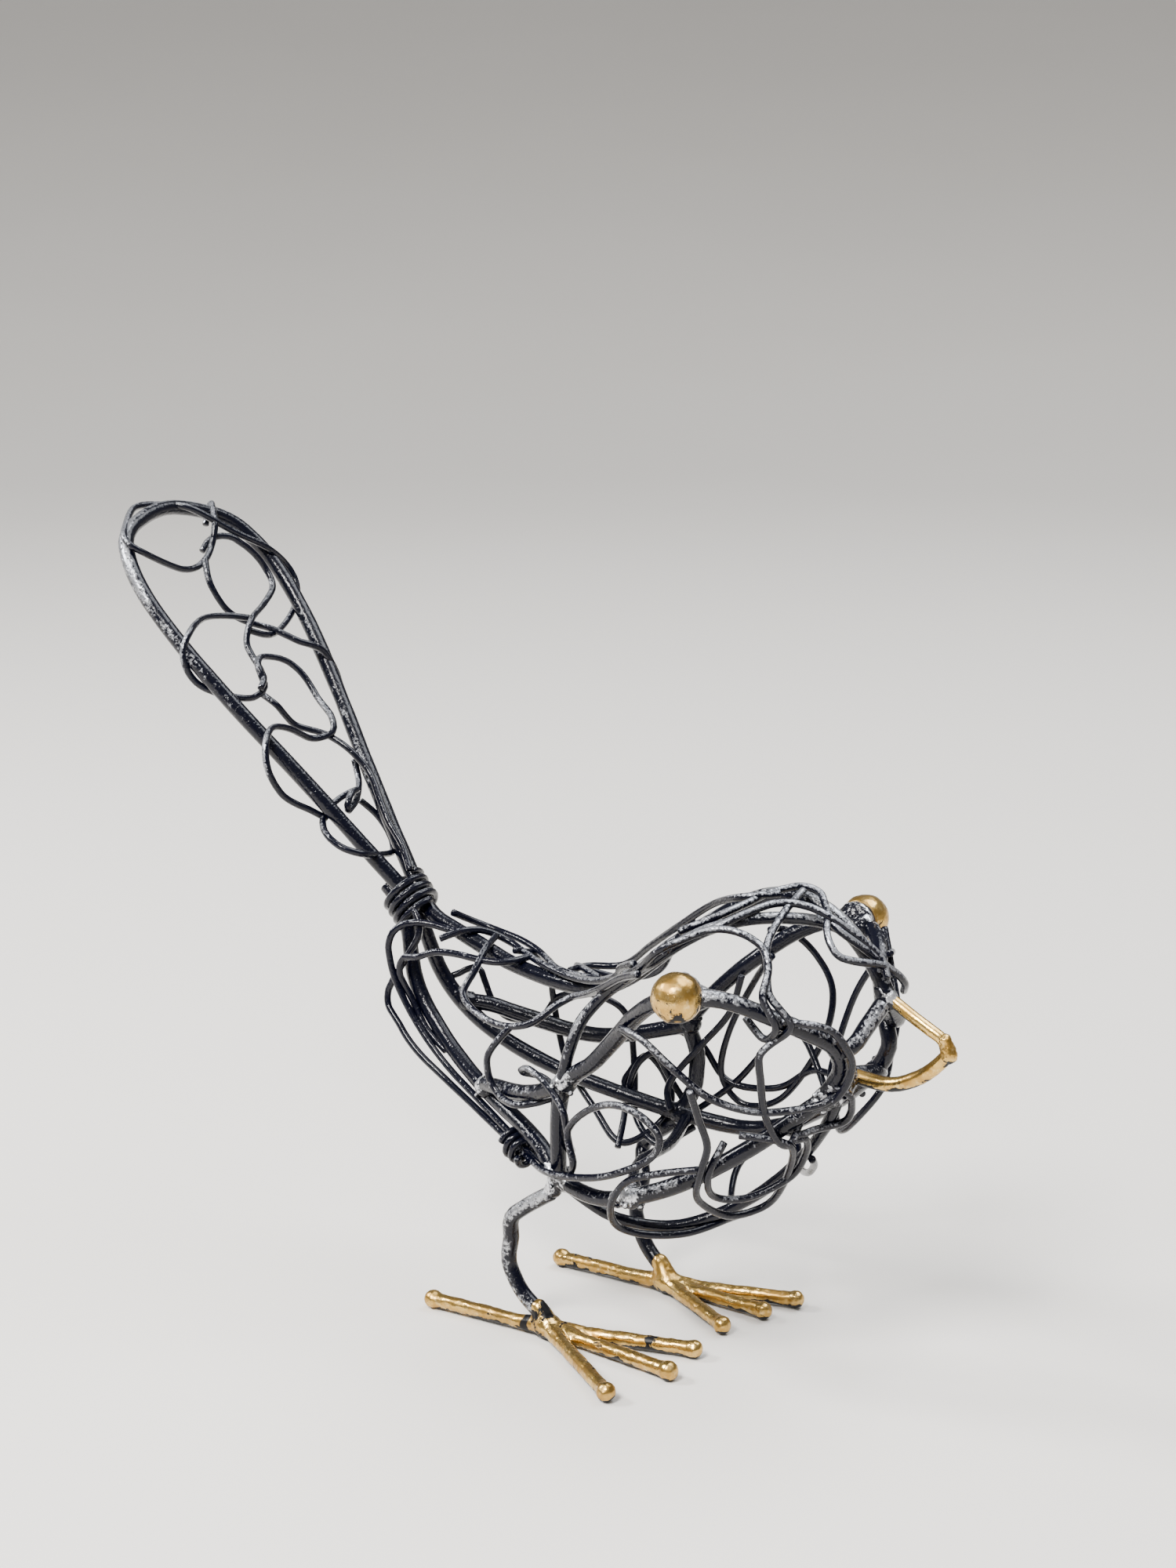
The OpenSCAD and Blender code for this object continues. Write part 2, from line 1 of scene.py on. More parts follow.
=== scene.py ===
"""A small wren with a cocked tail, bent and welded from painted steel rod and laced with wire.

+X is the way the beak points, +Y the bird's left, Z = 0 the surface it stands on.
Every rod and wire is drawn again as one smooth painted tube along the middle of its CAD
node, and the welds, eyes, beak, ankles and toes get their hand-made shapes.
"""
import json
import math

import bmesh
import bpy
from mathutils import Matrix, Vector, noise


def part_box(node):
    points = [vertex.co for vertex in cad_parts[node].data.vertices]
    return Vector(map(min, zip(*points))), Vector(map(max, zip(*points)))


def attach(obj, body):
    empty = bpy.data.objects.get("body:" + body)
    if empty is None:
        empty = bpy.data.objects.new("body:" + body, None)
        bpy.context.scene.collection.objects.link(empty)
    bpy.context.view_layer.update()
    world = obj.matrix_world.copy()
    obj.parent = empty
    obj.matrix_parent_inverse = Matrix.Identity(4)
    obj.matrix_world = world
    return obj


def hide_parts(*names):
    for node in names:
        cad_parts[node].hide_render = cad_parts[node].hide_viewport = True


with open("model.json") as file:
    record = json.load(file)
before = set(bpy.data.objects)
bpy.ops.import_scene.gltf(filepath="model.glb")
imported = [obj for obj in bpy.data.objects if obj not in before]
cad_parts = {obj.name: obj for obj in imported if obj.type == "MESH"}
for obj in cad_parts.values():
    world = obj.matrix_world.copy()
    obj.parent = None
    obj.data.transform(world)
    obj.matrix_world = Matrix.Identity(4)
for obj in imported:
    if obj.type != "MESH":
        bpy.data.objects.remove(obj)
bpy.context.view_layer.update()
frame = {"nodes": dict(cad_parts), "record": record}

MM = 0.001
NODES = frame["nodes"]

# ---------------------------------------------------------------- measures

LIT_MIDDLE = Vector((0, 0, 0.06))
CAMERA_PLACE = (0.25191, -0.32834, 0.183)
CAMERA_HEADING = 36.0      # degrees round from looking along +Y
CAMERA_DROP = 13.3         # degrees below the level
CAMERA_LENS = 61.2

ROD_RING = 6               # bevel resolution of the frame rods
WIRE_RING = 4              # and of the lacing
CUT_BEVEL = 0.12 * MM      # the worn edge of a cut end
TOE_ROD = 1.25 * MM        # radius of a toe
LUMP_GRAIN = 0.22 * MM     # how finely weld metal is shaped
FOOT_GRAIN = 0.26 * MM     # and the gold feet
BEAK_GRAIN = 0.18 * MM     # and the beak tip

BODY_HEART = (0.026, 0, 0.052)   # middle of the body cage; faces turned away from it get silver, partly painted light
TAIL_START = -32 * MM      # where the tail begins, going back along the bird
TAIL_BLEND = 6 * MM        # length over which the painted light on the tail's flanks comes in
TAIL_FLANK = 0.6           # how much silver, partly painted light, the sides of the tail rods get

FLOOR_HALF = 8             # half the side of the floor, in metres
FLAT_REACH = 1.2           # metres of flat floor round the bird
FLOOR_RISE = 0.3           # slope of the floor beyond that

BARE_BLACK = (0.003, 0.003, 0.004, 1)   # the coat under the gold
# painted shade: the dark brown of the gold's shaded parts
PAINTED_SHADE_BROWN = (0.2, 0.11, 0.04, 1)

# ---------------------------------------------------------------- shader groups

def add_sockets(tree, inputs, outputs):
    """Named inputs {name: (kind, value)} and outputs {name: kind} of a shader group."""
    for name, (kind, value) in inputs.items():
        socket = tree.interface.new_socket(name, in_out="INPUT", socket_type="NodeSocket" + kind)
        socket.default_value = value
    for name, kind in outputs.items():
        tree.interface.new_socket(name, in_out="OUTPUT", socket_type="NodeSocket" + kind)
    return tree.nodes.new("NodeGroupInput"), tree.nodes.new("NodeGroupOutput")


class Wiring:
    """Shorthand for adding nodes to one node tree and linking them."""

    def __init__(self, tree):
        self.tree = tree

    def put(self, socket, value):
        if hasattr(value, "is_output"):
            self.tree.links.new(value, socket)
        else:
            socket.default_value = value

    def noise(self, place, scale, detail=2.0, rough=0.5, stretch=0.0):
        n = self.tree.nodes.new("ShaderNodeTexNoise")
        self.put(n.inputs["Vector"], place)
        self.put(n.inputs["Scale"], scale)
        self.put(n.inputs["Detail"], detail)
        self.put(n.inputs["Roughness"], rough)
        self.put(n.inputs["Distortion"], stretch)
        return n.outputs["Fac"]

    def cells(self, place, scale):
        n = self.tree.nodes.new("ShaderNodeTexVoronoi")
        self.put(n.inputs["Vector"], place)
        self.put(n.inputs["Scale"], scale)
        return n.outputs["Distance"]

    def step(self, value, low, high, to_low=0.0, to_high=1.0):
        """Smooth step from to_low to to_high as value goes from low to high."""
        n = self.tree.nodes.new("ShaderNodeMapRange")
        n.interpolation_type = "SMOOTHSTEP"
        for name, v in zip(("Value", "From Min", "From Max", "To Min", "To Max"),
                           (value, low, high, to_low, to_high)):
            self.put(n.inputs[name], v)
        return n.outputs["Result"]

    def math(self, kind, a, b=0.0):
        n = self.tree.nodes.new("ShaderNodeMath")
        n.operation = kind
        self.put(n.inputs[0], a)
        self.put(n.inputs[1], b)
        return n.outputs[0]

    def vector(self, kind, a, b=(0, 0, 0)):
        n = self.tree.nodes.new("ShaderNodeVectorMath")
        n.operation = kind
        self.put(n.inputs[0], a)
        self.put(n.inputs[1], b)
        return n.outputs["Value" if kind == "DOT_PRODUCT" else "Vector"]

    def split(self, vector):
        """The X, Y and Z of a vector."""
        n = self.tree.nodes.new("ShaderNodeSeparateXYZ")
        self.put(n.inputs[0], vector)
        return n.outputs

    def mix(self, fac, a, b):
        n = self.tree.nodes.new("ShaderNodeMix")
        n.data_type = "RGBA"
        self.put(n.inputs[0], fac)
        self.put(n.inputs[6], a)
        self.put(n.inputs[7], b)
        return n.outputs[2]


def object_place(w):
    return w.tree.nodes.new("ShaderNodeTexCoord").outputs["Object"]


def lit_and_brushed_side_group():
    """How far a surface faces up and out from the body, and in the tail to either side: partly where
    the dry brush laid silver, partly painted light, lit faces silver and the rest black as painted shade."""
    tree = bpy.data.node_groups.new("lit and brushed side", "ShaderNodeTree")
    gin, gout = add_sockets(
        tree, {"Low": ("Float", -0.2), "High": ("Float", 0.9), "Outward": ("Float", 0.5)},
        {"Mask": "Float"})
    w = Wiring(tree)
    normal = tree.nodes.new("ShaderNodeNewGeometry").outputs["Normal"]
    # painted light: faces turned up and out get the silver, the rest stays black as painted shade
    upward = w.vector("DOT_PRODUCT", normal, (0, 0, 0.6))
    from_heart = w.vector("SUBTRACT", object_place(w), BODY_HEART)
    away = w.vector("NORMALIZE", w.vector("MULTIPLY", from_heart, (0.5, 1.6, 0.6)))
    outward = w.math("MULTIPLY", w.vector("DOT_PRODUCT", normal, away), gin.outputs["Outward"])
    along = w.split(object_place(w))[0]
    in_tail = w.step(along, TAIL_START - TAIL_BLEND, TAIL_START, TAIL_FLANK, 0.0)
    flank = w.math("MULTIPLY", w.math("ABSOLUTE", w.split(normal)[1]), in_tail)
    facing = w.math("ADD", w.math("ADD", upward, outward), flank)
    tree.links.new(w.step(facing, gin.outputs["Low"], gin.outputs["High"]), gout.inputs["Mask"])
    return tree


def dry_brush_group():
    """Streaky, speckled cover of a dry brush, raised by Side where the painted light falls: 0 where the
    black shows, 1 under full silver.
    """
    tree = bpy.data.node_groups.new("dry brush", "ShaderNodeTree")
    gin, gout = add_sockets(
        tree, {"Side": ("Float", 1.0), "Cover": ("Float", 0.5), "Patch": ("Float", 110.0),
               "Speck": ("Float", 1500.0)}, {"Mask": "Float", "Pits": "Float"})
    w = Wiring(tree)
    here = object_place(w)
    patch = w.noise(here, gin.outputs["Patch"], 3.0, 0.6)
    speck = w.noise(here, gin.outputs["Speck"], 4.0, 0.65, 0.4)
    pits = w.cells(here, w.math("MULTIPLY", gin.outputs["Speck"], 0.9))
    level = w.math("ADD", w.math("MULTIPLY", patch, 0.7), w.math("MULTIPLY", speck, 1.1))
    # Side brings in the painted light: more silver on faces turned up and out
    level = w.math("ADD", level, w.math("MULTIPLY", gin.outputs["Side"], 0.55))
    edge = w.math("SUBTRACT", 1.9, gin.outputs["Cover"])
    cover = w.step(level, w.math("SUBTRACT", edge, 0.1), w.math("ADD", edge, 0.14))
    open_pits = w.step(pits, 0.12, 0.34)
    filled = w.math("ADD", 0.35, w.math("MULTIPLY", open_pits, 0.65))
    tree.links.new(w.math("MULTIPLY", cover, filled), gout.inputs["Mask"])
    tree.links.new(open_pits, gout.inputs["Pits"])
    return tree


def chip_group():
    """Paint chips: 1 where the paint is off down to the black coat, with more black on faces that look
    down as painted shade.
    """
    tree = bpy.data.node_groups.new("paint chips", "ShaderNodeTree")
    gin, gout = add_sockets(
        tree, {"Amount": ("Float", 0.3), "Size": ("Float", 330.0), "Under": ("Float", 0.26)},
        {"Mask": "Float"})
    w = Wiring(tree)
    here = object_place(w)
    broad = w.noise(here, gin.outputs["Size"], 4.0, 0.62, 0.5)
    where = w.noise(here, w.math("MULTIPLY", gin.outputs["Size"], 0.28), 2.0)
    normal = tree.nodes.new("ShaderNodeNewGeometry").outputs["Normal"]
    # painted shade: black added on faces turned down
    under = w.step(w.vector("DOT_PRODUCT", normal, (0, 0, -1)), -0.1, 0.9, 0.0, gin.outputs["Under"])
    level = w.math("ADD", w.math("ADD", broad, under), w.math("MULTIPLY", where, 0.7))
    edge = w.math("SUBTRACT", 1.3, w.math("MULTIPLY", gin.outputs["Amount"], 0.5))
    tree.links.new(w.step(level, edge, w.math("ADD", edge, 0.035)), gout.inputs["Mask"])
    return tree


GROUPS = {"lit and brushed side": lit_and_brushed_side_group(), "dry brush": dry_brush_group(),
          "paint chips": chip_group()}


def place_group(w, name, **values):
    node = w.tree.nodes.new("ShaderNodeGroup")
    node.node_tree = GROUPS[name]
    for key, value in values.items():
        w.put(node.inputs[key], value)
    return node


def new_material(name):
    material = bpy.data.materials.new(name)
    material.use_nodes = True
    w = Wiring(material.node_tree)
    return material, w, material.node_tree.nodes["Principled BSDF"]


def bump(w, height, strength, distance):
    n = w.tree.nodes.new("ShaderNodeBump")
    n.inputs["Strength"].default_value = strength
    n.inputs["Distance"].default_value = distance
    w.tree.links.new(height, n.inputs["Height"])
    return n.outputs["Normal"]


def silvered_paint(name, black, silver, cover, low, high, outward, patch, speck, gloss):
    """Black paint with silver dry-brushed over it, more on upper and outer faces as painted light. cover
    is how much silver there is, low and high how far a surface must face up and out, outward how much the
    outer side gets, patch and speck the fineness of the streaks and grains, gloss the roughness of the
    black."""
    material, w, shader = new_material(name)
    # silver mask: dry-brush streaks plus painted light on upper and outer faces, painted shade elsewhere
    side = place_group(w, "lit and brushed side", Low=low, High=high, Outward=outward).outputs["Mask"]
    brush = place_group(w, "dry brush", Side=side, Cover=cover, Patch=patch, Speck=speck)
    mask = brush.outputs["Mask"]
    here = object_place(w)
    tint = w.noise(here, 70.0, 2.0)
    deep = (black[0] * 0.6, black[1] * 0.62, black[2] * 0.9, 1)
    base = w.mix(w.step(tint, 0.35, 0.65), black, deep)
    dull = (silver[0] * 0.72, silver[1] * 0.72, silver[2] * 0.74, 1)
    metal = w.mix(w.step(w.noise(here, speck * 0.6, 3.0), 0.3, 0.7), dull, silver)
    w.put(shader.inputs["Base Color"], w.mix(mask, base, metal))
    w.put(shader.inputs["Metallic"], w.step(mask, 0.0, 1.0, 0.0, 0.85))
    w.put(shader.inputs["Roughness"], w.step(mask, 0.0, 1.0, gloss, 0.3))
    w.put(shader.inputs["Specular IOR Level"], 0.28)
    grain = w.noise(here, 900.0, 4.0, 0.6)
    raised = w.math("ADD", w.math("MULTIPLY", mask, 0.35),
                    w.math("MULTIPLY", brush.outputs["Pits"], 0.25))
    height = w.math("ADD", w.math("MULTIPLY", grain, 0.8), raised)
    w.put(shader.inputs["Normal"], bump(w, height, 0.55, 0.00022))
    return material


def gold_paint(name, chips, chip_size, under=0.28, back=None, bare=None):
    """Antique gold paint over black, satin and chipped at random, with painted shade in dark brown
    patches, pale flecks of painted highlight, and extra black chips on faces that look down as painted
    shade.
    back is (Y sign, depth) of a ball's unpainted inner side, bare the X of an unpainted band."""
    material, w, shader = new_material(name)
    here = object_place(w)
    worn = w.noise(here, 260.0, 4.0, 0.6)
    gold = w.mix(w.step(worn, 0.34, 0.66), (0.42, 0.24, 0.055, 1), (0.68, 0.45, 0.14, 1))
    # painted highlights: pale gold flecks standing in for glints
    glint_flecks = w.step(w.noise(here, 1100.0, 3.0), 0.52, 0.75)
    gold = w.mix(w.math("MULTIPLY", glint_flecks, 0.5), gold, (0.88, 0.68, 0.33, 1))
    chip = place_group(w, "paint chips", Amount=chips, Size=chip_size, Under=under).outputs["Mask"]
    if back is not None:
        wavy = w.math("MULTIPLY", w.math("SUBTRACT", w.noise(here, 300.0), 0.5), 0.0012)
        inner = w.math("ADD", w.math("MULTIPLY", w.split(here)[1], back[0]), wavy)
        unpainted = w.step(inner, back[1] - 0.0003, back[1] + 0.0002, 1.0, 0.0)
        chip = w.math("MAXIMUM", chip, unpainted)
    if bare is not None:
        wavy = w.math("MULTIPLY", w.math("SUBTRACT", w.noise(here, 500.0), 0.5), 0.0014)
        off = w.math("ABSOLUTE", w.math("ADD", w.math("SUBTRACT", w.split(here)[0], bare), wavy))
        chip = w.math("MAXIMUM", chip, w.step(off, 0.0006, 0.0009, 1.0, 0.0))
    # painted shade: patches of dark brown standing in for the gold's shaded parts
    painted_shade = w.step(w.noise(here, 150.0, 3.0), 0.5, 0.8)
    gold = w.mix(w.math("MULTIPLY", painted_shade, 0.45), gold, PAINTED_SHADE_BROWN)
    w.put(shader.inputs["Base Color"], w.mix(chip, gold, BARE_BLACK))
    w.put(shader.inputs["Metallic"], w.step(chip, 0.0, 1.0, 1.0, 0.0))
    satin = w.step(worn, 0.3, 0.7, 0.36, 0.2)
    w.put(shader.inputs["Roughness"], w.math("ADD", satin, w.math("MULTIPLY", chip, 0.12)))
    w.put(shader.inputs["Specular IOR Level"], w.step(chip, 0.0, 1.0, 0.5, 0.2))
    grain = w.noise(here, 700.0, 4.0, 0.6)
    height = w.math("SUBTRACT", w.math("MULTIPLY", grain, 0.6), w.math("MULTIPLY", chip, 0.5))
    w.put(shader.inputs["Normal"], bump(w, height, 0.6, 0.00025))
    return material


ROD_PAINT = silvered_paint("silvered black rod", (0.0015, 0.002, 0.006, 1), (0.4, 0.41, 0.435, 1),
                           0.56, 0.15, 1.1, 0.6, 130.0, 1500.0, 0.16)
LEG_PAINT = silvered_paint("silvered black leg", (0.0015, 0.002, 0.006, 1), (0.42, 0.43, 0.45, 1),
                           0.54, -0.1, 0.8, 0.8, 190.0, 1500.0, 0.18)
WIRE_PAINT = silvered_paint("silvered black wire", (0.0015, 0.002, 0.0065, 1), (0.36, 0.37, 0.4, 1),
                            0.56, 0.1, 1.1, 0.65, 150.0, 2000.0, 0.16)
WELD_PAINT = silvered_paint("silvered weld", (0.002, 0.0025, 0.006, 1), (0.72, 0.73, 0.75, 1),
                            0.6, -0.2, 0.75, 0.6, 240.0, 1500.0, 0.18)
GOLD = gold_paint("antique gold", 0.6, 300.0)
GOLD_RIGHT_FOOT = gold_paint("antique gold of the right foot", 0.6, 300.0,
                             bare=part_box("right_ankle_weld")[0].x - 0.6 * MM)
GOLD_RIGHT_EYE = gold_paint("antique gold of the right eye", 0.66, 420.0, 0.0,
                            back=(-1, -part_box("right_eye")[1].y + 1.2 * MM))
GOLD_LEFT_EYE = gold_paint("antique gold of the left eye", 0.66, 420.0, 0.08,
                           back=(1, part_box("left_eye")[0].y + 1.9 * MM))


# ---------------------------------------------------------------- reading the CAD nodes

def merged_copy(node):
    """A bmesh of a CAD node's solid with its loose triangles joined up."""
    bm = bmesh.new()
    bm.from_mesh(NODES[node].data)
    bmesh.ops.remove_doubles(bm, verts=bm.verts, dist=0.002 * MM)
    bm.verts.index_update()
    return bm


def middle_of(verts):
    """Middle of some vertices, added up in the same order every run."""
    return sum((v.co for v in sorted(verts, key=lambda v: v.index)), Vector()) / len(verts)


def solids(bm):
    """The separate solids of a bmesh, as lists of vertices."""
    left, found = set(bm.verts), []
    while left:
        group, edge = set(), [left.pop()]
        while edge:
            v = edge.pop()
            group.add(v)
            for e in v.link_edges:
                o = e.other_vert(v)
                if o in left:
                    left.discard(o)
                    edge.append(o)
        found.append(list(group))
    return found


def ball_middles(node):
    """Middle of each separate solid of a node."""
    bm = merged_copy(node)
    middles = [middle_of(group) for group in solids(bm)]
    bm.free()
    return sorted(middles, key=lambda p: (round(p.x, 4), round(p.y, 4)))


def flat_patch(face):
    """The faces round a face that lie flat with it."""
    patch, edge = {face}, [face]
    while edge:
        for e in edge.pop().edges:
            for f in e.link_faces:
                if f not in patch and f.normal.dot(face.normal) > 0.9999:
                    patch.add(f)
                    edge.append(f)
    return patch


def cut_ends(bm):
    """The two cut ends of a swept solid: flat patches with all corners equally far from the
    middle."""
    ends, done = [], set()
    for face in bm.faces:
        if face in done:
            continue
        patch = flat_patch(face)
        done |= patch
        ring = {v for f in patch for v in f.verts}
        middle = middle_of(ring)
        reach = [(v.co - middle).length for v in ring]
        if len(ring) > 4 and max(reach) < 1.02 * min(reach):
            ends.append((ring, max(reach)))
    return sorted(ends, key=lambda end: min(v.co.x for v in end[0]))


def swept(node):
    """Points along the middle of a swept node, from one cut end to the other, and its radius.
    Each ring of the sweep is one edge further from the first cut end."""
    bm = merged_copy(node)
    bm.normal_update()
    ring, radius = cut_ends(bm)[0]
    points, seen = [], set(ring)
    while ring:
        points.append(middle_of(ring))
        ring = {e.other_vert(v) for v in ring for e in v.link_edges} - seen
        seen |= ring
    bm.free()
    return points, radius


# ---------------------------------------------------------------- making the pieces

def finish_piece(obj, name, nodes, material):
    obj.name = name
    obj.data.name = name
    obj.data.materials.clear()
    obj.data.materials.append(material)
    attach(obj, "root")
    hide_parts(*nodes)
    return obj


def piece_from(bm, name, nodes, material):
    mesh = bpy.data.meshes.new(name)
    bm.to_mesh(mesh)
    bm.free()
    for p in mesh.polygons:
        p.use_smooth = True
    obj = bpy.data.objects.new(name, mesh)
    bpy.context.collection.objects.link(obj)
    return finish_piece(obj, name, nodes, material)


def radius_at(p, seed, uneven):
    """Share of the full radius at a place: the paint and the hand bending leave it uneven."""
    return 1 + uneven * (noise.noise(p * 170 + Vector((seed, 0, 0))) - 0.3)


def tube_mesh(points, radius, ring, seed=0, uneven=0.05):
    """Mesh of a smooth round tube along points, its cut ends slightly worn."""
    curve = bpy.data.curves.new("route", "CURVE")
    curve.dimensions = "3D"
    curve.bevel_depth = radius
    curve.bevel_resolution = ring
    curve.use_fill_caps = True
    curve.resolution_u = 3
    spline = curve.splines.new("BEZIER")
    first = points[0] + (points[1] - points[0]).normalized() * CUT_BEVEL
    last = points[-1] + (points[-2] - points[-1]).normalized() * CUT_BEVEL
    route = [points[0], first] + list(points[1:-1]) + [last, points[-1]]
    spline.bezier_points.add(len(route) - 1)
    for b, p in zip(spline.bezier_points, route):
        b.co = p
        b.handle_left_type = b.handle_right_type = "AUTO"
        b.radius = radius_at(p, seed, uneven)
    for b in (spline.bezier_points[0], spline.bezier_points[-1]):
        b.radius *= 1 - CUT_BEVEL / radius
        b.handle_left_type = b.handle_right_type = "VECTOR"
    obj = bpy.data.objects.new("route", curve)
    bpy.context.collection.objects.link(obj)
    bpy.context.view_layer.update()
    mesh = bpy.data.meshes.new_from_object(obj.evaluated_get(bpy.context.evaluated_depsgraph_get()))
    bpy.data.objects.remove(obj)
    bpy.data.curves.remove(curve)
    return mesh


def join_mesh(bm, mesh):
    bm.from_mesh(mesh)
    bpy.data.meshes.remove(mesh)


def tube_piece(node, ring, material, uneven=0.05):
    bm = bmesh.new()
    seed = sum(ord(c) for c in node) % 97
    points, radius = LINES[node]
    join_mesh(bm, tube_mesh(points, radius, ring, seed, uneven))
    bmesh.ops.remove_doubles(bm, verts=bm.verts, dist=0.001 * MM)
    bmesh.ops.recalc_face_normals(bm, faces=bm.faces)
    return piece_from(bm, "painted_" + node, [node], material)


RODS = ["tail_hoop", "spine_rod", "right_lower_rail", "left_lower_rail", "right_eye_loop",
        "left_eye_loop", "right_flank_strut", "left_flank_strut", "nape_rod", "belly_rod",
        "cross_tie", "right_mouth_rod", "left_mouth_rod", "right_leg", "left_leg"]
LACES = [s["node"] for s in frame["record"]["subparts"] if s["material_slot"] == "lacing_wire"]
GOLD_WIRES = ["beak_upper_wire", "beak_lower_wire"]
LINES = {name: swept(name) for name in RODS + LACES + GOLD_WIRES}
for name in RODS:
    tube_piece(name, ROD_RING, LEG_PAINT if name.endswith("leg") else ROD_PAINT, 0.09)
for name in LACES:
    tube_piece(name, WIRE_RING, WIRE_PAINT, 0.07)
for name in GOLD_WIRES:
    tube_piece(name, ROD_RING, GOLD, 0.12)


# ---------------------------------------------------------------- balls, welds and feet

def add_ball(bm, place, radius, fine=3, squeeze=(1, 1, 1)):
    made = bmesh.ops.create_icosphere(bm, subdivisions=fine, radius=radius)["verts"]
    bmesh.ops.scale(bm, vec=Vector(squeeze), verts=made)
    bmesh.ops.translate(bm, vec=Vector(place), verts=made)


def add_run(bm, start, end, radius, end_radius=None):
    """A row of overlapping balls from start to end, to be melted into one lump."""
    start, end = Vector(start), Vector(end)
    end_radius = end_radius or radius
    count = max(2, int((end - start).length / (min(radius, end_radius) * 0.35)))
    for i in range(count + 1):
        t = i / count
        add_ball(bm, start.lerp(end, t), radius + (end_radius - radius) * t, 2)


def roughen(bm, depth, scale, seed):
    """Moves every vertex in or out a little, in broad dents with finer ones on them."""
    bm.normal_update()
    moves = [v.normal * depth * (noise.noise(v.co * scale + Vector((seed, 3, 7)))
                                 + 0.5 * noise.noise(v.co * scale * 2.7 + Vector((5, seed, 1))))
             for v in bm.verts]
    for v, move in zip(bm.verts, moves):
        v.co += move


def melted(bm, grain, rounds):
    """One closed skin round everything in a bmesh, its creases filled like weld metal."""
    mesh = bpy.data.meshes.new("lump")
    bm.to_mesh(mesh)
    bm.free()
    obj = bpy.data.objects.new("lump", mesh)
    bpy.context.collection.objects.link(obj)
    skin = obj.modifiers.new("skin", "REMESH")
    skin.mode = "VOXEL"
    skin.voxel_size = grain
    bpy.context.view_layer.update()
    shaped = bpy.data.meshes.new_from_object(obj.evaluated_get(bpy.context.evaluated_depsgraph_get()))
    bpy.data.objects.remove(obj)
    bpy.data.meshes.remove(mesh)
    out = bmesh.new()
    join_mesh(out, shaped)
    for _ in range(rounds):
        bmesh.ops.smooth_vert(out, verts=out.verts, factor=0.5,
                              use_axis_x=True, use_axis_y=True, use_axis_z=True)
    return out


def hold_above_ground(bm):
    for v in bm.verts:
        v.co.z = max(v.co.z, 0.0)


def weld_piece(name, nodes, runs, seed, material=None, grain=LUMP_GRAIN):
    """A lumpy weld from runs of (start, end, radius, end radius)."""
    bm = bmesh.new()
    for run in runs:
        add_run(bm, *run)
    bm = melted(bm, grain, 3)
    roughen(bm, 0.16 * MM, 900, seed)
    hold_above_ground(bm)
    return piece_from(bm, name, nodes, material or WELD_PAINT)


def frame_weld_runs():
    """Each bead of the frame, with metal drawn out a little way along the rods it joins."""
    runs = []
    for middle in ball_middles("frame_welds"):
        runs.append((middle, middle + Vector((0.2, 0, 0.1)) * MM, 1.95 * MM, 1.8 * MM))
        for name in RODS:
            near = [p for p in LINES[name][0] if (p - middle).length < 4.6 * MM]
            for p in near[::2]:
                runs.append((middle, middle.lerp(p, 0.8), 1.55 * MM, 1.42 * MM))
    return runs


def spatter(bm, middle, seed, count=5):
    """Small beads of metal thrown onto the rods round a weld."""
    for i in range(count):
        way = Vector((math.sin(seed * 3.1 + i * 2.4), math.cos(seed * 1.7 + i * 1.3),
                      math.sin(seed + i * 4.1)))
        bead = (0.42 + 0.12 * math.sin(i * 5 + seed)) * MM
        add_ball(bm, middle + way.normalized() * 2.05 * MM, bead, 2)


def eye_piece(node, seed, material):
    lo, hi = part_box(node)
    bm = bmesh.new()
    add_ball(bm, (lo + hi) / 2, (hi.z - lo.z) / 2 - 0.06 * MM, 6)
    roughen(bm, 0.09 * MM, 420, seed)
    return piece_from(bm, "painted_" + node, [node], material)


def eye_collar(node, side):
    """The ring of weld metal that holds an eye ball to its loop."""
    lo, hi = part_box(node)
    middle = (lo + hi) / 2
    inner = Vector((middle.x, middle.y - side * 2.3 * MM, middle.z))
    bm = bmesh.new()
    add_ball(bm, inner + Vector((-0.3, 0, 0)) * MM, 3.15 * MM, 4, (1.05, 0.55, 1))
    add_ball(bm, inner + Vector((-1.5, -side * 0.8, -0.4)) * MM, 2.2 * MM, 3)
    add_ball(bm, inner + Vector((1.6, -side * 0.8, -0.4)) * MM, 2.0 * MM, 3)
    bm = melted(bm, LUMP_GRAIN, 3)
    roughen(bm, 0.15 * MM, 800, side * 9)
    return piece_from(bm, node + "_collar", [], WELD_PAINT)


def toe_tips(node, ankle):
    """Middle of the ball on each toe of a foot, from the furthest reaches of its CAD node."""
    bm = merged_copy(node)
    ball = (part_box(node)[1].z + 0.1 * MM) / 2
    flat = sorted(((v.co - ankle).xy.to_3d() for v in bm.verts), key=lambda p: -p.length)
    bm.free()
    tips = []
    for p in flat:
        if all(p.angle(t) > math.radians(13) for t in tips) and p.length > 15 * MM:
            tips.append(p.normalized() * (p.length - ball))
    return [Vector((ankle.x + t.x, ankle.y + t.y, ball - 0.1 * MM)) for t in tips], ball


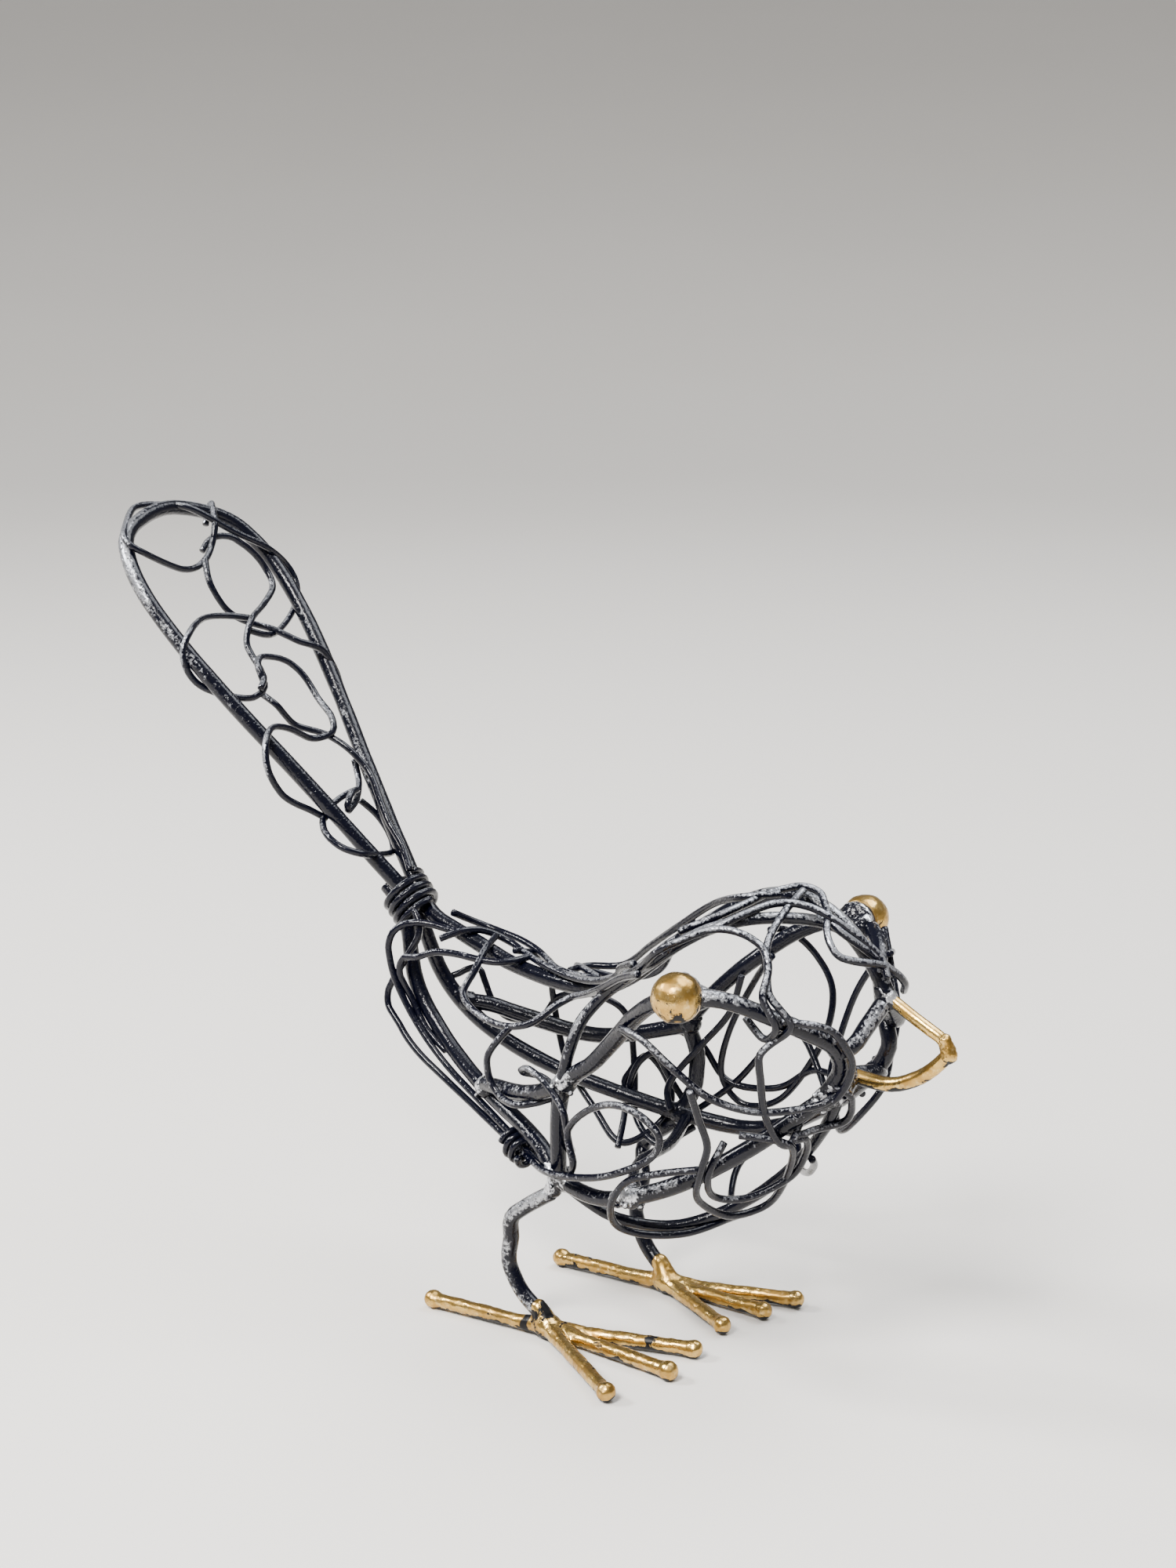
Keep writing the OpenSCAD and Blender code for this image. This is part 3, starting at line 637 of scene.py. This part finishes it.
def foot_piece(side, seed, material):
    """Ankle weld, webs and toes of one foot, melted together under the gold paint."""
    lo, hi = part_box(side + "_ankle_weld")
    ankle = Vector(((lo.x + hi.x) / 2, (lo.y + hi.y) / 2, 0))
    tips, ball = toe_tips(side + "_toes", ankle)
    height = ball - 0.1 * MM
    leg = LINES[side + "_leg"][0]
    bottom, top = (leg[0], leg[3]) if leg[0].z < leg[-1].z else (leg[-1], leg[-4])
    bm = bmesh.new()
    root = ankle + Vector((0, 0, 1.9 * MM))
    add_ball(bm, root, 2.35 * MM, 3, (1.1, 0.95, 0.85))
    reach = bottom + (top - bottom).normalized() * 2.6 * MM
    add_run(bm, root, reach, 2.1 * MM, LINES[side + "_leg"][1] * 1.12)
    for i, tip in enumerate(tips):
        base = Vector((ankle.x, ankle.y, height))
        add_run(bm, base, tip, TOE_ROD * 0.97, TOE_ROD)
        add_run(bm, root, base.lerp(tip, 0.24), 1.6 * MM, TOE_ROD * 1.02)
        add_ball(bm, tip, ball * (0.93 + 0.04 * math.sin(i * 4 + seed)), 3)
    bm = melted(bm, FOOT_GRAIN, 4)
    roughen(bm, 0.09 * MM, 520, seed)
    roughen(bm, 0.05 * MM, 1500, seed + 5)
    hold_above_ground(bm)
    return piece_from(bm, side + "_foot", [side + "_ankle_weld", side + "_toes"], material)


weld_piece("frame_weld_beads", ["frame_welds"], frame_weld_runs(), 3)
thrown = bmesh.new()
for k, middle in enumerate(ball_middles("frame_welds")):
    spatter(thrown, middle, k)
piece_from(thrown, "weld_spatter", [], WELD_PAINT)
eye_piece("right_eye", 2, GOLD_RIGHT_EYE)
eye_piece("left_eye", 8, GOLD_LEFT_EYE)
eye_collar("right_eye", -1)
eye_collar("left_eye", 1)
foot_piece("right", 1, GOLD_RIGHT_FOOT)
foot_piece("left", 4, GOLD)

beak_top = LINES["beak_upper_wire"][0]
beak_top = beak_top if beak_top[0].z > beak_top[-1].z else beak_top[::-1]
tip = sum(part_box("beak_tip_blob"), Vector()) / 2
weld_piece("beak_tip", ["beak_tip_blob"],
           [(tip + Vector((-0.75, 0, 1.9)) * MM, tip + Vector((0.1, 0, -0.2)) * MM, 1.12 * MM, 1.3 * MM)],
           6, GOLD, BEAK_GRAIN)
weld_piece("beak_root_weld", [],
           [(beak_top[0] + Vector((-0.8, 0, 0.9)) * MM,
             beak_top[0] + Vector((-0.2, 0, -0.9)) * MM, 1.5 * MM, 1.6 * MM),
            (beak_top[0], beak_top[0].lerp(beak_top[-1], 0.1), 1.5 * MM, 1.15 * MM)], 7)


# ---------------------------------------------------------------- camera, light and floor

def aim_camera():
    data = bpy.data.cameras.new("camera")
    data.lens = CAMERA_LENS
    data.sensor_width = 36
    data.clip_start, data.clip_end = 0.01, 20
    camera = bpy.data.objects.new("camera", data)
    bpy.context.collection.objects.link(camera)
    turn, drop = math.radians(CAMERA_HEADING), math.radians(CAMERA_DROP)
    ahead = Vector((-math.sin(turn) * math.cos(drop), math.cos(turn) * math.cos(drop), -math.sin(drop)))
    camera.location = CAMERA_PLACE
    camera.rotation_euler = ahead.to_track_quat("-Z", "Y").to_euler()
    bpy.context.scene.camera = camera


def soft_light(name, place, size, power, colour):
    """A round soft light aimed at the middle of the bird."""
    data = bpy.data.lights.new(name, "AREA")
    data.shape = "DISK"
    data.size = size
    data.energy = power
    data.color = colour
    lamp = bpy.data.objects.new(name, data)
    bpy.context.collection.objects.link(lamp)
    lamp.location = place
    lamp.rotation_euler = (LIT_MIDDLE - Vector(place)).to_track_quat("-Z", "Y").to_euler()


def even_light(power):
    data = bpy.data.lights.new("even", "SUN")
    data.energy = power
    data.angle = math.radians(60)
    lamp = bpy.data.objects.new("even", data)
    bpy.context.collection.objects.link(lamp)
    lamp.rotation_euler = (math.radians(25), math.radians(10), 0)


def lay_floor():
    """A pale floor, flat all round the bird and rising far behind it."""
    bm = bmesh.new()
    bmesh.ops.create_grid(bm, x_segments=80, y_segments=80, size=FLOOR_HALF)
    for v in bm.verts:
        v.co.z = max(0.0, v.co.xy.length - FLAT_REACH) * FLOOR_RISE
    mesh = bpy.data.meshes.new("floor")
    bm.to_mesh(mesh)
    bm.free()
    floor = bpy.data.objects.new("floor", mesh)
    bpy.context.collection.objects.link(floor)
    material, w, shader = new_material("pale floor")
    shade = w.noise(object_place(w), 3.0, 3.0)
    w.put(shader.inputs["Base Color"], w.mix(shade, (0.72, 0.69, 0.65, 1), (0.78, 0.75, 0.71, 1)))
    w.put(shader.inputs["Roughness"], 0.75)
    mesh.materials.append(material)
    for p in mesh.polygons:
        p.use_smooth = True


aim_camera()
soft_light("window", (0.05, -0.6, 0.75), 0.3, 16, (1, 0.98, 0.95))
soft_light("sky", (0.2, 0.4, 1.0), 0.8, 15, (0.93, 0.96, 1))
soft_light("side", (-0.6, -0.35, 0.6), 0.2, 9, (1, 1, 1))
even_light(0.6)
world = bpy.data.worlds.new("studio")
world.use_nodes = True
world.node_tree.nodes["Background"].inputs["Color"].default_value = (0.95, 0.94, 0.92, 1)
world.node_tree.nodes["Background"].inputs["Strength"].default_value = 0.32
bpy.context.scene.world = world
lay_floor()
